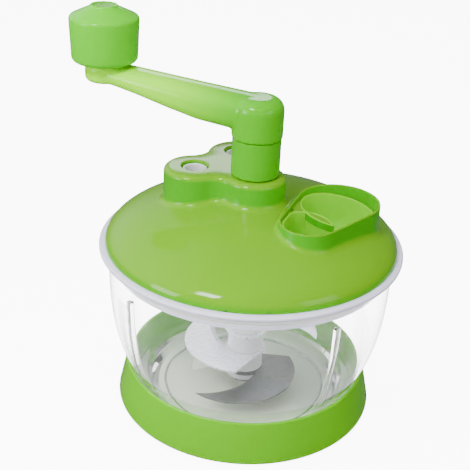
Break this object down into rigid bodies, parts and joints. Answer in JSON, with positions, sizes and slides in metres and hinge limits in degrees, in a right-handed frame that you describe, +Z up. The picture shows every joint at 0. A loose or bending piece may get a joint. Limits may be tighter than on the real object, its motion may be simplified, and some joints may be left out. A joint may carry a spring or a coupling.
{
  "type": "hand cranked garlic chopper",
  "caption": "Hand-cranked garlic chopper: clear bowl in a flared base, sickle blades on a spindle, geared domed lid with feed hopper, offset crank and turning knob.",
  "frame": {"origin": "where the crank axis meets the surface that the base plate stands on", "axes": "+Z up along the crank axis, +Y away from the picture's camera, +X to its right"},
  "size_m": [0.202, 0.18, 0.2332],
  "materials": {
    "base_green": "smooth moulded green",
    "base_white": "matt non-slip white",
    "bowl_clear": "polished clear",
    "steel": "turned steel",
    "blade_steel": "polished blade steel",
    "spindle_white": "satin white",
    "tray_white": "satin white",
    "seal_rubber": "soft white rubber",
    "lid_green": "smooth glossy green",
    "gear_white": "natural white nylon",
    "crank_green": "smooth glossy green",
    "knob_green": "smooth glossy green"
  },
  "bodies": {
    "base": {"base_ring": "base_green", "base_plate": "base_white", "bowl": "bowl_clear", "pivot_pin": "steel"},
    "blades": {"blade_spindle": "spindle_white", "blade_foot": "spindle_white", "blade_lower": "blade_steel", "blade_middle": "blade_steel", "blade_upper": "blade_steel", "blade_spacer_lower": "spindle_white", "blade_spacer_middle": "spindle_white"},
    "lid": {"lid_dome": "lid_green", "tray": "tray_white", "seal_ring": "seal_rubber", "feed_chute": "lid_green", "tray_screw_one": "steel", "tray_screw_two": "steel", "tray_screw_three": "steel", "tray_screw_four": "steel", "crank_bush": "gear_white", "output_bush": "steel", "counter_front_axle": "steel", "counter_back_axle": "steel"},
    "crank": {"crank_arm": "crank_green", "crank_sleeve": "crank_green", "crank_shaft": "steel", "drive_gear": "gear_white", "gear_washer": "steel", "knob_pin": "steel"},
    "knob": {"knob": "knob_green", "knob_cap": "knob_green"},
    "counter_front": {"counter_front_gear": "gear_white"},
    "counter_back": {"counter_back_gear": "gear_white"},
    "output": {"output_gear": "gear_white", "output_clip": "steel"}
  },
  "joints": [
    {"name": "lid_lift", "type": "slide", "parent": "base", "child": "lid", "axis": [0, 0, 1], "range_m": [0, 0.12]},
    {"name": "crank_turn", "type": "hinge", "parent": "lid", "child": "crank", "pos_m": [0, 0, 0.16], "axis": [0, 0, 1], "continuous": true},
    {"name": "knob_spin", "type": "hinge", "parent": "crank", "child": "knob", "pos_m": [-0.09149, 0.03512, 0.21], "axis": [0, 0, 1], "continuous": true},
    {"name": "counter_front_spin", "type": "hinge", "parent": "lid", "child": "counter_front", "pos_m": [-0.03521, 0.00748, 0.115], "axis": [0, 0, 1], "continuous": true},
    {"name": "counter_back_spin", "type": "hinge", "parent": "lid", "child": "counter_back", "pos_m": [-0.01112, 0.03424, 0.115], "axis": [0, 0, 1], "continuous": true},
    {"name": "output_spin", "type": "hinge", "parent": "lid", "child": "output", "pos_m": [0, 0, 0.105], "axis": [0, 0, 1], "continuous": true},
    {"name": "blade_spin", "type": "hinge", "parent": "base", "child": "blades", "pos_m": [0, 0, 0.05], "axis": [0, 0, 1], "continuous": true}
  ],
  "couplings": [
    {"joint": "counter_front_spin", "follows": "crank_turn", "ratio": -2},
    {"joint": "counter_back_spin", "follows": "crank_turn", "ratio": -2},
    {"joint": "output_spin", "follows": "crank_turn", "ratio": 1.6},
    {"joint": "blade_spin", "follows": "crank_turn", "ratio": 1.6}
  ]
}
